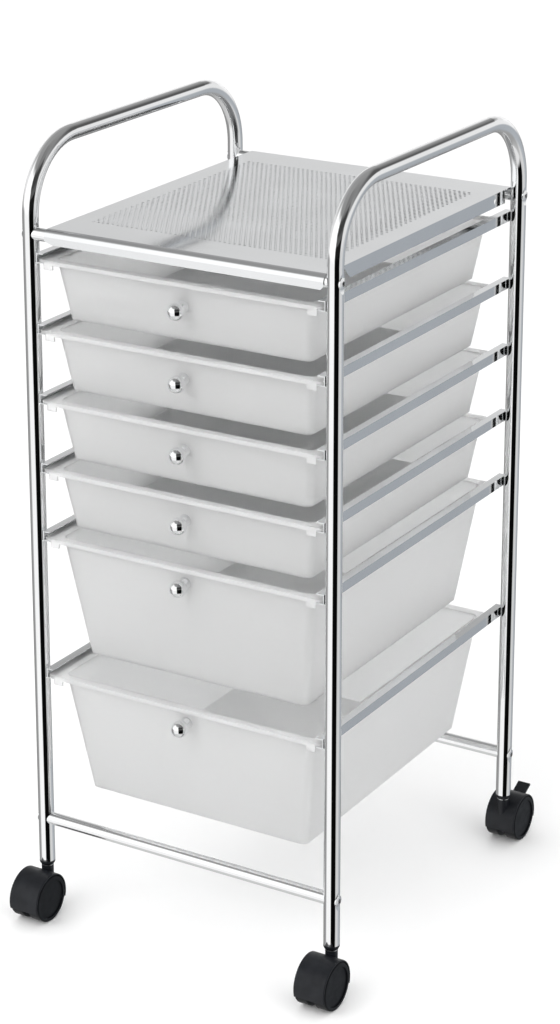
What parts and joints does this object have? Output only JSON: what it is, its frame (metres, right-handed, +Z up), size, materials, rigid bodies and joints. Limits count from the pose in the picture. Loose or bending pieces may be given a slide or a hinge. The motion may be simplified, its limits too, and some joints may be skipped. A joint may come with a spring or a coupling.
{
  "type": "rolling drawer cart",
  "caption": "Narrow rolling cart: bent chrome tube sides with push handles, perforated top shelf, translucent pull-out drawers on channel rails and swivel casters.",
  "frame": {"origin": "on the floor, under the middle of the cart", "axes": "+X to the cart's right seen from its front, -Y towards the front, +Z up"},
  "size_m": [0.3704, 0.4693, 0.8155],
  "materials": {
    "chrome_tube": "polished",
    "chrome_sheet": "bright sheet",
    "chrome_trim": "polished",
    "steel": "zinc plated",
    "frosted_plastic": "frosted translucent",
    "black_plastic": "moulded, slightly shiny"
  },
  "bodies": {
    "frame": {"left_side_frame": "chrome_tube", "right_side_frame": "chrome_tube", "front_top_crossbar": "chrome_tube", "front_bottom_crossbar": "chrome_tube", "rear_top_crossbar": "chrome_tube", "rear_bottom_crossbar": "chrome_tube", "crossbar_bolts": "chrome_trim", "crossbar_inserts": "steel", "top_shelf": "chrome_sheet", "leg_sleeves": "black_plastic", "rail_pair_1": "chrome_sheet", "rail_pair_2": "chrome_sheet", "rail_pair_3": "chrome_sheet", "rail_pair_4": "chrome_sheet", "rail_pair_5": "chrome_sheet", "rail_pair_6": "chrome_sheet"},
    "drawer_1": {"drawer_1": "frosted_plastic", "knob_1": "chrome_trim", "knob_screw_1": "steel"},
    "drawer_2": {"drawer_2": "frosted_plastic", "knob_2": "chrome_trim", "knob_screw_2": "steel"},
    "drawer_3": {"drawer_3": "frosted_plastic", "knob_3": "chrome_trim", "knob_screw_3": "steel"},
    "drawer_4": {"drawer_4": "frosted_plastic", "knob_4": "chrome_trim", "knob_screw_4": "steel"},
    "drawer_5": {"drawer_5": "frosted_plastic", "knob_5": "chrome_trim", "knob_screw_5": "steel"},
    "drawer_6": {"drawer_6": "frosted_plastic", "knob_6": "chrome_trim", "knob_screw_6": "steel"},
    "front_left_caster": {"front_left_caster_hood": "black_plastic", "front_left_caster_stem": "steel", "front_left_caster_axle": "steel"},
    "front_left_left_wheel": {"front_left_left_wheel": "black_plastic"},
    "front_left_right_wheel": {"front_left_right_wheel": "black_plastic"},
    "front_right_caster": {"front_right_caster_hood": "black_plastic", "front_right_caster_stem": "steel", "front_right_caster_axle": "steel"},
    "front_right_left_wheel": {"front_right_left_wheel": "black_plastic"},
    "front_right_right_wheel": {"front_right_right_wheel": "black_plastic"},
    "rear_left_caster": {"rear_left_caster_hood": "black_plastic", "rear_left_caster_stem": "steel", "rear_left_caster_axle": "steel"},
    "rear_left_left_wheel": {"rear_left_left_wheel": "black_plastic"},
    "rear_left_right_wheel": {"rear_left_right_wheel": "black_plastic"},
    "rear_left_brake_lever": {"rear_left_brake_lever": "black_plastic"},
    "rear_right_caster": {"rear_right_caster_hood": "black_plastic", "rear_right_caster_stem": "steel", "rear_right_caster_axle": "steel"},
    "rear_right_left_wheel": {"rear_right_left_wheel": "black_plastic"},
    "rear_right_right_wheel": {"rear_right_right_wheel": "black_plastic"},
    "rear_right_brake_lever": {"rear_right_brake_lever": "black_plastic"}
  },
  "joints": [
    {"name": "drawer_1_slide", "type": "slide", "parent": "frame", "child": "drawer_1", "axis": [0, -1, 0], "range_m": [0, 0.28]},
    {"name": "drawer_2_slide", "type": "slide", "parent": "frame", "child": "drawer_2", "axis": [0, -1, 0], "range_m": [0, 0.28]},
    {"name": "drawer_3_slide", "type": "slide", "parent": "frame", "child": "drawer_3", "axis": [0, -1, 0], "range_m": [0, 0.28]},
    {"name": "drawer_4_slide", "type": "slide", "parent": "frame", "child": "drawer_4", "axis": [0, -1, 0], "range_m": [0, 0.28]},
    {"name": "drawer_5_slide", "type": "slide", "parent": "frame", "child": "drawer_5", "axis": [0, -1, 0], "range_m": [0, 0.28]},
    {"name": "drawer_6_slide", "type": "slide", "parent": "frame", "child": "drawer_6", "axis": [0, -1, 0], "range_m": [0, 0.28]},
    {"name": "front_left_swivel", "type": "hinge", "parent": "frame", "child": "front_left_caster", "pos_m": [-0.168, -0.186, 0.05], "axis": [0, 0, 1], "continuous": true},
    {"name": "front_left_left_wheel_spin", "type": "hinge", "parent": "front_left_caster", "child": "front_left_left_wheel", "pos_m": [-0.168, -0.204, 0.024], "axis": [1, 0, 0], "continuous": true},
    {"name": "front_left_right_wheel_spin", "type": "hinge", "parent": "front_left_caster", "child": "front_left_right_wheel", "pos_m": [-0.168, -0.204, 0.024], "axis": [1, 0, 0], "continuous": true},
    {"name": "front_right_swivel", "type": "hinge", "parent": "frame", "child": "front_right_caster", "pos_m": [0.168, -0.186, 0.05], "axis": [0, 0, 1], "continuous": true},
    {"name": "front_right_left_wheel_spin", "type": "hinge", "parent": "front_right_caster", "child": "front_right_left_wheel", "pos_m": [0.168, -0.204, 0.024], "axis": [1, 0, 0], "continuous": true},
    {"name": "front_right_right_wheel_spin", "type": "hinge", "parent": "front_right_caster", "child": "front_right_right_wheel", "pos_m": [0.168, -0.204, 0.024], "axis": [1, 0, 0], "continuous": true},
    {"name": "rear_left_swivel", "type": "hinge", "parent": "frame", "child": "rear_left_caster", "pos_m": [-0.168, 0.186, 0.05], "axis": [0, 0, 1], "continuous": true},
    {"name": "rear_left_left_wheel_spin", "type": "hinge", "parent": "rear_left_caster", "child": "rear_left_left_wheel", "pos_m": [-0.168, 0.204, 0.024], "axis": [1, 0, 0], "continuous": true},
    {"name": "rear_left_right_wheel_spin", "type": "hinge", "parent": "rear_left_caster", "child": "rear_left_right_wheel", "pos_m": [-0.168, 0.204, 0.024], "axis": [1, 0, 0], "continuous": true},
    {"name": "rear_left_brake", "type": "hinge", "parent": "rear_left_caster", "child": "rear_left_brake_lever", "pos_m": [-0.168, 0.224, 0.03], "axis": [-1, 0, 0], "range_deg": [0, 20]},
    {"name": "rear_right_swivel", "type": "hinge", "parent": "frame", "child": "rear_right_caster", "pos_m": [0.168, 0.186, 0.05], "axis": [0, 0, 1], "continuous": true},
    {"name": "rear_right_left_wheel_spin", "type": "hinge", "parent": "rear_right_caster", "child": "rear_right_left_wheel", "pos_m": [0.168, 0.204, 0.024], "axis": [1, 0, 0], "continuous": true},
    {"name": "rear_right_right_wheel_spin", "type": "hinge", "parent": "rear_right_caster", "child": "rear_right_right_wheel", "pos_m": [0.168, 0.204, 0.024], "axis": [1, 0, 0], "continuous": true},
    {"name": "rear_right_brake", "type": "hinge", "parent": "rear_right_caster", "child": "rear_right_brake_lever", "pos_m": [0.168, 0.224, 0.03], "axis": [-1, 0, 0], "range_deg": [0, 20]}
  ]
}
